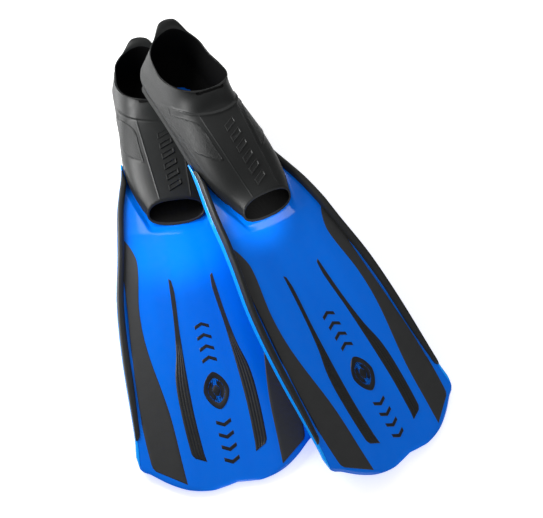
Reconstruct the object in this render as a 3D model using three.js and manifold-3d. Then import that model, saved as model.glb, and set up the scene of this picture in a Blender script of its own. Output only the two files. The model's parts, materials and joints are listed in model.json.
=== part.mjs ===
// A pair of full-foot swim fins, the right fin lying across the left one. Millimetres, +Z up.
//
// Each fin is drawn in its own fin frame: +X to the wearer's right, +Y from the blade's tip towards
// the heel, +Z out of the blade's upper face, origin on the blade's upper face at the toe lip.
// The pair's frame has the floor at Z = 0 and its origin below the middle of the pair.

import * as THREE from 'three';
import { mergeVertices } from 'three/addons/utils/BufferGeometryUtils.js';
import Module from 'manifold-3d';

const wasm = await Module();
wasm.setup();

// ---------------------------------------------------------------- driving dimensions, mm and degrees

const GAP = 0.3;                 // clearance between neighbouring pieces
const FLEX_Y = -20;              // flex line of the blade, just ahead of the toe
const FLEX_Z = 1;
const FLEX_RELIEF = 24;          // the blade's root is cut back by this angle above and below the flex line
const BLADE_THICKNESS = 3.2;
const BLADE_CORNER_Y = -283;     // here the straight edge meets the tip's curve
const CHANNEL_HALF = 22;         // flat middle of the blade
const LAND_HALF = 50;            // where the raised outer lands begin
const LAND_Z = 3;
const FLANGE_WIDTH = 2.4;        // flange that hangs down along the blade's edge
const RAIL_OUTSET = 0.5;         // rail's outer side, from the blade's edge
const RAIL_INSET = 9;            // rail's inner side, from the blade's edge
const RAIL_END_Y = -266;
const ARM_END_Y = 96;            // the blade's arms end here, beside the pocket
const RAIL_ROOT_Y = 87;          // and the rails end here
const RAIL_CLEARS_POCKET_Y = 20; // from here towards the heel the rail keeps outside the pocket
const INLAY_DEPTH = 1.2;         // panels, strips and mark sink this far into the blade
const INLAY_PROUD = 0.6;
const BAND_FROM_Y = -400;        // bands in the blade's form run past both its ends
const BAND_TO_Y = 100;
const CUT_HEIGHT = 20;           // reach of the cutters that shape inlays and openings

const RUBBER = 3;                // wall of the foot pocket
const POCKET_FROM_Y = -30;       // the pocket's form starts here and is trimmed by the toe opening's plane
const TOE_Y = 3;                 // slanted plane of the toe opening, where it meets Z = 0
const TOE_SLANT = 48;
const HEEL_CENTRE_Y = 232;       // the heel's plan is an ellipse about this point
const HEEL_REACH = 40;
const CRADLE_END_Y = 92;
const CRADLE_THICKNESS = 3;
const CRADLE_LEAD = 5;           // the cradle's lip lies this far ahead of the toe opening
const CRADLE_RIM_TILT = -98;     // its rim falls towards the heel by 8 degrees
const TAB_THICKNESS = 4;         // pull tab on the heel's rim
const TAB_LEAN = 52;             // from lying flat
const TAB_FOOT_Y = 274;
const TAB_FOOT_Z = 14;
const SOLE_DROP = 6;             // sole's underside below the pocket's underside
const SOLE_START_Y = 14;
const SOLE_INSET = 5;
const SOLE_HEEL_REACH = 20;
const BED_START_Y = 62;          // stiff plate under the foot, inside the pocket
const BED_END_Y = 224;
const BED_THICKNESS = 2.5;
const BED_INSET = 6;             // from the room's wall
const BED_END_ROUND = 30;        // length of the plate's round heel end
const FOLD_Y = 254;              // fold line of the heel cup, at the pocket's underside
const FOLD_Z = -56.9;
const FOLD_LEAN = 30;            // the cup's parting plane leans forward by this angle from upright

const FLOOR_PITCH = 5.7;         // the left blade's plane against the floor, heel end raised
const FLOOR_DROP = 36.55;        // floor below the left fin's origin

// The right fin's place in the left fin's frame.
const RIGHT_POSITION = new THREE.Vector3(103.9, -33.6, 55.6);
const RIGHT_TURN = { yaw: 18.9, pitch: 8.5, roll: 6.9 };

const RING_POINTS = 28;
const STATION_STEP = 20;

const BLUE = 0x0073f0;
const BLACK = 0x343736;
const INK = 0x24282b;

// ------------------------------------------------------------------------------- shape functions

/** A smooth function through [position, value] pairs in rising order, constant past its ends. */
function smoothThrough(pairs) {
  const last = pairs.length - 1;
  const slopes = pairs.map((pair, i) => {
    const before = pairs[Math.max(i - 1, 0)];
    const after = pairs[Math.min(i + 1, last)];
    return (after[1] - before[1]) / (after[0] - before[0]);
  });
  return (at) => {
    if (at <= pairs[0][0]) return pairs[0][1];
    if (at >= pairs[last][0]) return pairs[last][1];
    const i = pairs.findIndex((pair) => pair[0] > at) - 1;
    const span = pairs[i + 1][0] - pairs[i][0];
    const t = (at - pairs[i][0]) / span;
    const s = 1 - t;
    return s * s * (1 + 2 * t) * pairs[i][1] + t * t * (3 - 2 * t) * pairs[i + 1][1]
      + s * s * t * span * slopes[i] - t * t * s * span * slopes[i + 1];
  };
}

// Foot pocket, outside, along Y.
const pocketHalfWidth = smoothThrough([
  [-30, 28], [-3, 33.5], [15, 39], [30, 44.5], [61, 51.5], [95, 54], [125, 52], [160, 48], [195, 45],
  [232, 43],
]);
const pocketTop = smoothThrough([
  [-30, 15], [20, 21.5], [60, 22.5], [110, 25], [150, 27], [172, 31], [190, 21], [207, 8], [220, 5],
  [240, 11], [272, 23],
]);
const pocketSide = smoothThrough([
  [-30, 9], [20, 7.5], [60, 1], [90, -5], [140, -14], [190, -24], [232, -30], [272, -22],
]);
const pocketBottom = smoothThrough([
  [-30, -2], [0, -3.2], [30, -8.5], [100, -24], [170, -41], [225, -54], [255, -57], [265, -54], [272, -44],
]);
const topSquareness = smoothThrough([[-30, 2.2], [60, 2.5], [160, 2.6], [200, 7], [272, 7]]);
const BOTTOM_SQUARENESS = 3.2;

// Blade's outer edge, half width along Y.
const bladeEdge = smoothThrough([
  [BLADE_CORNER_Y, 106.3], [-262, 104], [-169, 101.8], [-100, 96.3], [-39, 85], [23, 74.6], [59, 65.2],
  [76, 60], [ARM_END_Y, 56.6],
]);
const flangeFoot = smoothThrough([[BLADE_CORNER_Y, -1.5], [-200, -3], [-20, -4.6], [ARM_END_Y, -4.6]]);
// How far the side arms, with their flanges and rails, dip beside the pocket.
const armDip = smoothThrough([[-10, 0], [20, -3.5], [40, -6.5], [60, -10], [76, -13], [ARM_END_Y, -17]]);
const railTop = smoothThrough([[RAIL_END_Y, 6], [-200, 8.5], [-20, 12.5], [RAIL_ROOT_Y, 11]]);

/** A superellipse's share of its radius along one axis, from the cosine or sine of the angle. */
function squarePower(value, squareness) {
  return Math.sign(value) * Math.abs(value) ** (2 / squareness);
}

/** One cross-section of the pocket as [x, z] points, drawn in by inset. */
function pocketSection(y, inset) {
  const reach = HEEL_REACH - inset;
  const past = Math.min(Math.max((y - HEEL_CENTRE_Y) / reach, 0), 1);
  const half = (pocketHalfWidth(y) - inset) * Math.sqrt(1 - past * past);
  const side = pocketSide(y);
  const up = Math.max(pocketTop(y) - inset - side, 1);
  const down = side - pocketBottom(y) - inset;
  return Array.from({ length: RING_POINTS }, (_, k) => {
    const angle = (2 * Math.PI * k) / RING_POINTS;
    const rise = Math.sin(angle);
    const squareness = rise > 0 ? topSquareness(y) : BOTTOM_SQUARENESS;
    return [
      half * squarePower(Math.cos(angle), squareness),
      side + (rise > 0 ? up : down) * squarePower(rise, squareness),
    ];
  });
}

/** Stations along the pocket from one Y to the heel's end, closer together round the heel. */
function pocketStations(from, inset) {
  const count = Math.round((HEEL_CENTRE_Y - from) / STATION_STEP);
  const straight = Array.from({ length: count }, (_, i) => from + ((HEEL_CENTRE_Y - from) * i) / count);
  const round = [0, 18, 36, 52, 66, 78, 87].map((angle) => {
    return HEEL_CENTRE_Y + (HEEL_REACH - inset) * Math.sin(THREE.MathUtils.degToRad(angle));
  });
  return [...straight, ...round];
}

/** Even stations from one place to another, rising. */
function steps(from, to, count) {
  return Array.from({ length: count + 1 }, (_, i) => from + ((to - from) * i) / count);
}

/** Stations along the blade's edge that every piece lying there shares between its own ends. */
function edgeStations(from, to) {
  const shared = steps(BLADE_CORNER_Y, RAIL_ROOT_Y, 19).filter((y) => y > from + 1 && y < to - 1);
  return [from, ...shared, to];
}

// ------------------------------------------------------------------------------- solid functions

/** A closed mesh through planar rings of [x, z] points, one ring at each Y. */
function loft(stations, ringAt) {
  const rings = stations.map(ringAt);
  const size = rings[0].length;
  const positions = rings.flatMap((ring, i) => ring.flatMap(([x, z]) => [x, stations[i], z]));
  const index = [];
  for (let i = 0; i + 1 < rings.length; i += 1) {
    for (let k = 0; k < size; k += 1) {
      const next = (k + 1) % size;
      const [a, b, c, d] = [i * size + k, i * size + next, (i + 1) * size + next, (i + 1) * size + k];
      index.push(a, c, b, a, d, c);
    }
  }
  const capAt = (i, flip) => {
    const outline = rings[i].map(([x, z]) => new THREE.Vector2(x, z));
    THREE.ShapeUtils.triangulateShape(outline, []).forEach(([a, b, c]) => {
      index.push(i * size + a, i * size + (flip ? c : b), i * size + (flip ? b : c));
    });
  };
  capAt(0, false);
  capAt(rings.length - 1, true);
  const geometry = new THREE.BufferGeometry();
  geometry.setAttribute('position', new THREE.Float32BufferAttribute(positions, 3));
  geometry.setIndex(index);
  return toSolid(geometry);
}

/** A geometry's closed mesh as a solid for joining and cutting. */
function toSolid(source) {
  const bare = source.clone();
  bare.deleteAttribute('normal');
  bare.deleteAttribute('uv');
  const geometry = mergeVertices(bare, 1e-4);
  const solid = new wasm.Manifold(new wasm.Mesh({
    numProp: 3,
    vertProperties: new Float32Array(geometry.attributes.position.array),
    triVerts: new Uint32Array(geometry.index.array),
  }));
  return solid;
}

/** A solid back as a drawable geometry. */
function toGeometry(solid) {
  const mesh = solid.getMesh();
  const geometry = new THREE.BufferGeometry();
  geometry.setAttribute('position', new THREE.Float32BufferAttribute(mesh.vertProperties, 3));
  geometry.setIndex(new THREE.Uint32BufferAttribute(mesh.triVerts, 1));
  geometry.computeVertexNormals();
  return geometry;
}

/** An outline in plan, [x, y] points, raised between two heights. */
function plate(outline, low, high) {
  const shape = new THREE.Shape(outline.map(([x, y]) => new THREE.Vector2(x, y)));
  const geometry = new THREE.ExtrudeGeometry(shape, { depth: high - low, bevelEnabled: false });
  geometry.translate(0, 0, low);
  return toSolid(geometry);
}

/** An outline in section, [x, z] points, drawn along Y between two stations. */
function bar(section, fromY, toY) {
  return loft([fromY, toY], () => section);
}

/** Everything on the far side of a plane through (y, z) whose normal is tilted about X. */
function halfSpace(y, z, tilt) {
  const size = 2000;
  const box = new THREE.BoxGeometry(size, size, size);
  box.translate(0, size / 2, 0);
  box.rotateX(THREE.MathUtils.degToRad(tilt));
  box.translate(0, y, z);
  return toSolid(box);
}

/** Points on a smooth curve through the given ones. */
function curved(points, divisions) {
  const curve = new THREE.SplineCurve(points.map(([x, y]) => new THREE.Vector2(x, y)));
  return curve.getPoints(divisions).map((point) => [point.x, point.y]);
}

/** A half outline and its mirror image as one closed outline, counter-clockwise from the right half. */
function mirrored(half) {
  const left = half.map(([x, y]) => [-x, y]).reverse();
  return [...half, ...left.filter(([x]) => x < -0.01)];
}

/** An outline moved outward by a distance, along the mean of each corner's two sides. */
function grown(outline, distance) {
  return outline.map(([x, y], i) => {
    const [ax, ay] = outline.at(i - 1);
    const [bx, by] = outline[(i + 1) % outline.length];
    const before = new THREE.Vector2(y - ay, ax - x).normalize();
    const after = new THREE.Vector2(by - y, x - bx).normalize();
    const mean = before.clone().add(after).normalize();
    const reach = distance / Math.max(mean.dot(after), 0.5);
    return [x + mean.x * reach, y + mean.y * reach];
  });
}

const flipX = (solid) => solid.mirror([1, 0, 0]);

// --------------------------------------------------------------------------------- blade pieces

/** A band between two offsets from the blade's upper surface, in section, out to a reach. */
function surfaceSection(reach, low, high) {
  const half = [[0, 0], [CHANNEL_HALF, 0], [LAND_HALF, LAND_Z], [reach, LAND_Z]];
  const across = [...half.slice(1).map(([x, z]) => [-x, z]).reverse(), ...half];
  const lower = across.map(([x, z]) => [x, z + low]);
  const upper = across.map(([x, z]) => [x, z + high]).reverse();
  return [...lower, ...upper];
}

/** The same band as a solid, longer and wider than the blade. */
function surfaceBand(low, high) {
  return bar(surfaceSection(1.2 * bladeEdge(BLADE_CORNER_Y), low, high), BAND_FROM_Y, BAND_TO_Y);
}

/** What the blade's root gives up so that it can swing both ways about the flex line. */
function flexRelief() {
  const y = FLEX_Y - GAP;
  return halfSpace(y, FLEX_Z, FLEX_RELIEF).add(halfSpace(y, FLEX_Z, -FLEX_RELIEF));
}

const tipHalf = [
  [106.3, BLADE_CORNER_Y], [104, -297], [94, -305], [75, -320], [55, -331], [31, -336.5], [15, -335.5],
  [0, -333.5],
];

/** The whole blue plan, tip to the ends of the side arms, as a closed outline. */
function bladeOutline() {
  const edge = edgeStations(BLADE_CORNER_Y, ARM_END_Y).slice(1).reverse().map((y) => [bladeEdge(y), y]);
  const half = [...edge, ...curved(tipHalf, 16)].reverse();
  return mirrored(half);
}

/** The flange along the blade's right edge between two stations. */
function edgeFlange(fromY, toY) {
  return loft(edgeStations(fromY, toY), (y) => {
    const out = bladeEdge(y);
    const inner = out - FLANGE_WIDTH;
    const foot = flangeFoot(y) + armDip(y);
    const top = LAND_Z + armDip(y);
    return [[inner, foot], [out, foot], [out, top], [inner, top]];
  });
}

/** The rail's inner side. */
function railInner(y) {
  const pocketEdge = y > RAIL_CLEARS_POCKET_Y ? pocketHalfWidth(y) + 2 * GAP : 0;
  return Math.max(bladeEdge(y) - RAIL_INSET, pocketEdge);
}

/** The rubber rail lying on the blade's edge, round on top, between two stations. */
function rail(fromY, toY) {
  return loft(edgeStations(fromY, toY), (y) => {
    const out = bladeEdge(y) - RAIL_OUTSET;
    const inner = railInner(y);
    const radius = (out - inner) / 2;
    const low = LAND_Z + GAP + armDip(y);
    const high = railTop(y) + armDip(y);
    const shoulder = (low + high) / 2;
    const arc = [0, 36, 72, 108, 144, 180].map((degrees) => {
      const angle = THREE.MathUtils.degToRad(degrees);
      return [inner + radius * (1 + Math.cos(angle)), shoulder + (high - shoulder) * Math.sin(angle)];
    });
    return [[inner, low], [out, low], ...arc];
  });
}

/** The room that the right rail's root takes from the cradle, open above. */
function railRoom() {
  return loft(edgeStations(FLEX_Y, ARM_END_Y), (y) => {
    const inner = railInner(y) - GAP;
    const out = bladeEdge(y) + 1;
    const low = LAND_Z + armDip(y);
    return [[inner, low], [out, low], [out, low + CUT_HEIGHT], [inner, low + CUT_HEIGHT]];
  });
}

const panelOutline = () => {
  const inner = curved([
    [68, -24], [61, -50], [71, -112], [71, -160], [60, -242], [57, -305], [56, -325],
  ], 14);
  const foot = [[69, -318], [88, -303], [91, -297]];
  const outer = [[93.3, -250], [92, -195], [88.5, -150], [84.5, -105]];
  const upper = [-100, -60, -24].map((y) => [bladeEdge(y) - RAIL_INSET - GAP, y]);
  return [...inner, ...foot, ...outer, ...upper];
};

const stripOutline = () => {
  const outer = curved([[28, -75], [32.5, -132], [38, -172], [45, -203], [47, -235], [45, -292]], 12);
  const inner = curved([[30.5, -292], [32, -240], [28.5, -150], [24, -95], [25, -78]], 10);
  return [...outer, [42, -298], [29, -304.5], ...inner].reverse();
};

const markOutline = () => mirrored([[0, -249], [13, -242], [17, -225], [13, -208], [0, -201]]);

/** An inlay on the blade's upper face and the recess it sits in. */
function inlay(outline) {
  return {
    piece: plate(outline, -CUT_HEIGHT, CUT_HEIGHT).intersect(surfaceBand(-INLAY_DEPTH, INLAY_PROUD)),
    recess: plate(grown(outline, GAP), -CUT_HEIGHT, CUT_HEIGHT)
      .intersect(surfaceBand(-INLAY_DEPTH - GAP, CUT_HEIGHT)),
  };
}

// ------------------------------------------------------------------------------- pocket pieces

/** A solid in the pocket's form, drawn in by inset (negative is outward). */
function pocketForm(from, inset) {
  return loft(pocketStations(from, inset), (y) => pocketSection(y, inset));
}

/** The room inside the pocket. */
const pocketRoom = () => pocketForm(POCKET_FROM_Y - 10, RUBBER);

/** The foot opening, seen from above: a long egg from the instep to the heel. */
function footOpening() {
  const half = curved([
    [0, 173], [22, 176.5], [36, 188], [41, 206], [40, 228], [36, 249], [23, 263], [0, 269.5],
  ], 20);
  return plate(mirrored(half), -CUT_HEIGHT, 4 * CUT_HEIGHT);
}

/** The pull tab that stands up and back from the heel's rim. */
function heelTab() {
  const outline = mirrored([[0, -18], [28, -18], [25, -9], [18, 3], [12, 14], [8, 17], [0, 17.5]]);
  const shape = new THREE.Shape(outline.map(([x, y]) => new THREE.Vector2(x, y)));
  const geometry = new THREE.ExtrudeGeometry(shape, { depth: TAB_THICKNESS, bevelEnabled: false });
  geometry.rotateX(THREE.MathUtils.degToRad(TAB_LEAN));
  geometry.translate(0, TAB_FOOT_Y, TAB_FOOT_Z);
  return toSolid(geometry).subtract(footOpening());
}

/** Everything behind the slanted plane of the toe opening, moved along Y. */
const behindToe = (shift) => halfSpace(TOE_Y + shift, 0, -TOE_SLANT);

/** The foot pocket's rubber, toe opening to pull tab, before it is parted at the heel. */
function pocketRubber() {
  const shell = pocketForm(POCKET_FROM_Y, 0).intersect(behindToe(0));
  return shell.add(heelTab()).subtract(pocketRoom()).subtract(footOpening());
}

/** The blue plate round the toe: side arms, flanges and the dish that the pocket sits in. */
function cradleSolid(flanges, clearPocket) {
  const sheet = loft(edgeStations(FLEX_Y, ARM_END_Y), (y) => {
    return surfaceSection(bladeEdge(y), armDip(y) - BLADE_THICKNESS, armDip(y));
  });
  const arms = sheet.add(flanges.intersect(halfSpace(FLEX_Y, 0, 0)));
  const belowRim = halfSpace(0, LAND_Z, CRADLE_RIM_TILT);
  const dish = pocketForm(POCKET_FROM_Y + 4, -CRADLE_THICKNESS).intersect(behindToe(-CRADLE_LEAD))
    .intersect(belowRim).subtract(halfSpace(CRADLE_END_Y, 0, 0));
  const cradle = arms.add(dish).subtract(clearPocket).subtract(pocketForm(POCKET_FROM_Y - 10, RUBBER - GAP));
  return cradle.subtract(railRoom()).subtract(flipX(railRoom()));
}

/** The rubber sole under the cradle and the pocket, flat where the heel meets the floor. */
function soleSolid(clearPocket) {
  const end = HEEL_CENTRE_Y + SOLE_HEEL_REACH;
  const round = [0.4, 0.7, 0.9].map((share) => HEEL_CENTRE_Y + SOLE_HEEL_REACH * share);
  const stations = [...steps(SOLE_START_Y, HEEL_CENTRE_Y, 12), ...round, end - GAP];
  const slab = loft(stations, (y) => {
    const past = Math.max((y - HEEL_CENTRE_Y) / SOLE_HEEL_REACH, 0);
    const half = (pocketHalfWidth(y) - SOLE_INSET) * Math.sqrt(1 - past * past);
    const low = pocketBottom(y) - SOLE_DROP;
    const high = pocketBottom(y) + SOLE_DROP;
    const bevel = SOLE_DROP / 2;
    return [
      [-half + bevel, low], [half - bevel, low], [half, low + bevel], [half, high], [-half, high],
      [-half, low + bevel],
    ];
  });
  const pitch = THREE.MathUtils.degToRad(FLOOR_PITCH);
  const aboveFloor = halfSpace(0, -FLOOR_DROP / Math.cos(pitch), 90 - FLOOR_PITCH);
  const clearCradle = pocketForm(POCKET_FROM_Y + 2, -CRADLE_THICKNESS - GAP)
    .subtract(halfSpace(CRADLE_END_Y + GAP, 0, 0));
  return slab.intersect(aboveFloor).subtract(clearCradle).subtract(clearPocket);
}

/** Height of the floor of the room inside the pocket, across X at one Y. */
function roomFloor(y, x) {
  const half = pocketHalfWidth(y) - RUBBER;
  const depth = pocketSide(y) - pocketBottom(y) - RUBBER;
  const share = (1 - (Math.abs(x) / half) ** BOTTOM_SQUARENESS) ** (1 / BOTTOM_SQUARENESS);
  return pocketSide(y) - depth * share;
}

/** The stiff plate under the foot, on the pocket's floor. */
function footBed() {
  const round = [0.5, 0.84, 0.97].map((share) => BED_END_Y + BED_END_ROUND * (share - 1));
  const stations = [...steps(BED_START_Y, BED_END_Y - BED_END_ROUND, 6), ...round];
  return loft(stations, (y) => {
    const past = Math.max((y - BED_END_Y) / BED_END_ROUND + 1, 0);
    const half = (pocketHalfWidth(y) - RUBBER - BED_INSET) * Math.sqrt(1 - past * past);
    const under = steps(-half, half, 8).map((x) => [x, roomFloor(y, x) + GAP]);
    const over = under.map(([x, z]) => [x, z + BED_THICKNESS]).reverse();
    return [...under, ...over];
  });
}

// ------------------------------------------------------------------------------------ one fin

/** Every solid of one fin in the fin frame, with its material, by name. */
function finPieces() {
  const clearPocket = pocketForm(POCKET_FROM_Y - 2, -GAP).intersect(behindToe(-GAP));
  const flange = edgeFlange(BLADE_CORNER_Y, ARM_END_Y);
  const flanges = flange.add(flipX(flange));
  const bluePlan = plate(bladeOutline(), -30, 30).intersect(surfaceBand(-BLADE_THICKNESS, 0));

  const panel = inlay(panelOutline());
  const strip = inlay(stripOutline());
  const mark = inlay(markOutline());
  const recesses = [panel.recess, flipX(panel.recess), strip.recess, flipX(strip.recess), mark.recess];
  const blade = recesses.reduce((rest, recess) => rest.subtract(recess), bluePlan.add(flanges));

  const rubber = pocketRubber();
  const railAhead = rail(RAIL_END_Y, FLEX_Y).subtract(flexRelief());
  const railRoot = rail(FLEX_Y, RAIL_ROOT_Y).subtract(clearPocket);

  return {
    blade: [blade.subtract(flexRelief()), 'blue'],
    toe_cradle: [cradleSolid(flanges, clearPocket), 'blue'],
    foot_bed: [footBed(), 'blue'],
    foot_pocket: [rubber.subtract(halfSpace(FOLD_Y - 2 * GAP, FOLD_Z, FOLD_LEAN)), 'black'],
    heel_cup: [rubber.intersect(halfSpace(FOLD_Y, FOLD_Z, FOLD_LEAN)), 'black'],
    sole: [soleSolid(clearPocket), 'black'],
    rail_r: [railAhead, 'black'],
    rail_l: [flipX(railAhead), 'black'],
    rail_root_r: [railRoot, 'black'],
    rail_root_l: [flipX(railRoot), 'black'],
    flank_panel_r: [panel.piece, 'black'],
    flank_panel_l: [flipX(panel.piece), 'black'],
    strip_r: [strip.piece, 'black'],
    strip_l: [flipX(strip.piece), 'black'],
    mark: [mark.piece, 'ink'],
  };
}

const materials = {
  blue: new THREE.MeshStandardMaterial({ color: BLUE, roughness: 0.22, metalness: 0 }),
  black: new THREE.MeshStandardMaterial({ color: BLACK, roughness: 0.6, metalness: 0 }),
  ink: new THREE.MeshStandardMaterial({ color: INK, roughness: 0.45, metalness: 0 }),
};

/** One fin as a group of named meshes. */
function finGroup(side, pieces) {
  const fin = new THREE.Group();
  Object.entries(pieces).forEach(([name, [solid, material]]) => {
    const mesh = new THREE.Mesh(toGeometry(solid), materials[material]);
    mesh.name = `${side}_${name}`;
    fin.add(mesh);
  });
  return fin;
}

// ------------------------------------------------------------------------------------ the pair

const pieces = finPieces();
const leftFin = finGroup('left', pieces);
const rightFin = finGroup('right', pieces);
rightFin.position.copy(RIGHT_POSITION);
rightFin.rotation.set(
  THREE.MathUtils.degToRad(RIGHT_TURN.pitch),
  THREE.MathUtils.degToRad(RIGHT_TURN.roll),
  THREE.MathUtils.degToRad(RIGHT_TURN.yaw),
  'ZXY',
);

const pair = new THREE.Group();
pair.add(leftFin, rightFin);
pair.rotation.x = THREE.MathUtils.degToRad(FLOOR_PITCH);
pair.updateMatrixWorld(true);
const box = new THREE.Box3().setFromObject(pair, true);
pair.position.set(-(box.min.x + box.max.x) / 2, -(box.min.y + box.max.y) / 2, FLOOR_DROP);

const group = new THREE.Group();
group.add(pair);
export default group;
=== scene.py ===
import json
import math

import bmesh
import bpy
import numpy as np
from mathutils import Matrix, Vector


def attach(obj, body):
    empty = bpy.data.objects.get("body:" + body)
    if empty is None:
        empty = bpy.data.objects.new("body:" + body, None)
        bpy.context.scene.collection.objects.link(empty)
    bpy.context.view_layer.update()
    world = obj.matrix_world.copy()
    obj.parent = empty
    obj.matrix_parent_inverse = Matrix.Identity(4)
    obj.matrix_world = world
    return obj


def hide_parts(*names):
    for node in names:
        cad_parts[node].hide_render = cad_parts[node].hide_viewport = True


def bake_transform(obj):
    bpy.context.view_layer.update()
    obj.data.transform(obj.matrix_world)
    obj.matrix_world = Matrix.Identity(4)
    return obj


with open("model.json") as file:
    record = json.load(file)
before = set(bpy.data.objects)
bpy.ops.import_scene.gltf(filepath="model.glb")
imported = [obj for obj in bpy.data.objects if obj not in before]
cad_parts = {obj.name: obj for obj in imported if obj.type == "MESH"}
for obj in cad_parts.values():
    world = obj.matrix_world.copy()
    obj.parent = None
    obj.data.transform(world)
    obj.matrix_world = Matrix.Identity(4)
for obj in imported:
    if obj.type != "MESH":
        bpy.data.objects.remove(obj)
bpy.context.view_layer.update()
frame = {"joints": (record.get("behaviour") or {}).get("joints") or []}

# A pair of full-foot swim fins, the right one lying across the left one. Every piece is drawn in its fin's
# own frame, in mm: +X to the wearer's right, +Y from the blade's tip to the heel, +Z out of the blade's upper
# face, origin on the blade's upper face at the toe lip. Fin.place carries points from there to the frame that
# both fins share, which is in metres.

# ---------- driving dimensions, mm

FLEX_POINT = np.array([0.0, -20.15, 1.0])  # the blade's hinge in the fin's frame
FOLD_POINT = np.array([0.0, 253.7, -56.9])  # the heel's hinge
FLEX_START_Y, FLEX_END_Y = -8.0, -200.0  # the blade bends along this stretch; its ends are worked out but no piece is bent
FOLD_BEFORE, FOLD_AFTER = 26.0, 30.0  # the heel's bend spreads this far either side of its hinge, on a line that rises this steeply towards the heel; these ends are worked out but no piece is bent
FOLD_LEAN = math.radians(30)  # on a line that rises this steeply towards the heel

BLADE_THICKNESS = 3.2
CHANNEL_HALF = 22.0  # flat channel along the middle of the blade
LAND_HALF = 50.0  # where the slope beside the channel reaches the land
LAND_Z = 3.0
MIDDLE_Z = LAND_Z - BLADE_THICKNESS / 2
WALL_WIDTH = 2.4  # upright wall along the blade's edge
SLOT_DEPTH = 2.2  # long slot between rail and flank panel
SLOT_START, SLOT_END = (-80, -95), (-262, -240)
RAIL_INSET = 9.0  # from the blade's edge to the rail's inner side
RAIL_OUTSET = 0.5  # from the blade's edge to the rail's outer side
RAIL_END_Y, RAIL_ROOT_Y = -266.0, 94.0
ARM_END_Y = 104.0  # back end of the arms beside the pocket
STRAIGHT_END_Y = -100.0  # rows of the blade run straight across down to here
CORNER_Y = -283.0  # and bend to the tip's curve from here on

RUBBER = 2.8  # thickness of the pocket's wall
TOE_Y = 3.0  # the toe opening's plane at a height of 0
TOE_SLANT = math.tan(math.radians(48))
HEEL_CENTRE_Y = 232.0
HEEL_REACH = 40.0
FLOOR_PITCH = math.radians(5.7)  # how the left fin lies on the floor
FLOOR_DROP = 36.55

# ---------- shape functions


def through(pairs):
    """A smooth function through (place, value) pairs in rising order, constant past its ends."""
    places, values = np.array(pairs, float).T
    slopes = np.empty_like(values)
    slopes[1:-1] = (values[2:] - values[:-2]) / (places[2:] - places[:-2])
    slopes[0] = (values[1] - values[0]) / (places[1] - places[0])
    slopes[-1] = (values[-1] - values[-2]) / (places[-1] - places[-2])

    def value(at):
        at = np.clip(np.asarray(at, float), places[0], places[-1])
        i = np.clip(np.searchsorted(places, at, side="right") - 1, 0, len(places) - 2)
        span = places[i + 1] - places[i]
        t = (at - places[i]) / span
        s = 1 - t
        ends = s * s * (1 + 2 * t) * values[i] + t * t * (3 - 2 * t) * values[i + 1]
        return ends + s * s * t * span * slopes[i] - t * t * s * span * slopes[i + 1]

    return value


def smoothstep(start, end, at):
    """0 before start, 1 after end, smooth between."""
    t = np.clip((np.asarray(at, float) - start) / (end - start), 0, 1)
    return t * t * (3 - 2 * t)


def soft_positive(t, softness=3.0):
    """max(t, 0) with its corner rounded."""
    return 0.5 * (t + np.sqrt(t * t + softness * softness))


def resample(curve, fractions):
    """Points of a polyline at shares of its length."""
    steps = np.linalg.norm(np.diff(curve, axis=0), axis=1)
    along = np.concatenate([[0], np.cumsum(steps)])
    if along[-1] < 1e-9:
        return np.repeat(curve[:1], len(fractions), axis=0)
    at = np.asarray(fractions) * along[-1]
    return np.stack([np.interp(at, along, curve[:, k]) for k in range(curve.shape[1])], axis=1)


def curve_through(points, fractions, level_ends=False):
    """Points on a smooth curve through the given ones. With level_ends it meets its mirror image evenly."""
    points = np.array(points, float)
    if level_ends:
        flip = np.array([-1.0] + [1.0] * (points.shape[1] - 1))
        points = np.vstack([points[1] * flip, points, points[-2] * flip])
    along = np.concatenate([[0], np.cumsum(np.linalg.norm(np.diff(points, axis=0), axis=1))])
    first, last = (along[1], along[-2]) if level_ends else (0.0, along[-1])
    dense = np.linspace(first, last, 400)
    curve = [through(list(zip(along, points[:, k])))(dense) for k in range(points.shape[1])]
    return resample(np.stack(curve, axis=1), fractions)


# Profiles of the pocket and the blade, as (Y, value) pairs. The tip's curve goes by X.

pocket_half = through([
    (-30, 28), (-3, 33.5), (15, 39), (30, 44.5), (61, 51.5), (95, 54), (125, 52), (160, 48), (195, 45),
    (232, 43),
])
pocket_top = through([
    (-30, 15), (20, 21.5), (60, 22.5), (110, 25), (150, 27), (172, 31), (190, 21), (207, 8), (220, 5),
    (240, 11), (272, 23),
])
pocket_side = through([
    (-30, 9), (20, 7.5), (60, 1), (90, -5), (140, -14), (190, -24), (232, -30), (272, -22),
])
pocket_bottom = through([
    (-30, -2), (0, -3.2), (30, -8.5), (100, -24), (170, -41), (225, -54), (255, -57), (265, -54),
    (272, -44),
])
top_squareness = through([(-30, 2.3), (60, 2.5), (160, 2.6), (200, 3.2), (250, 3.4), (272, 4.5)])
bottom_squareness = through([(-10, 2.1), (30, 2.5), (100, 3.2)])

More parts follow.
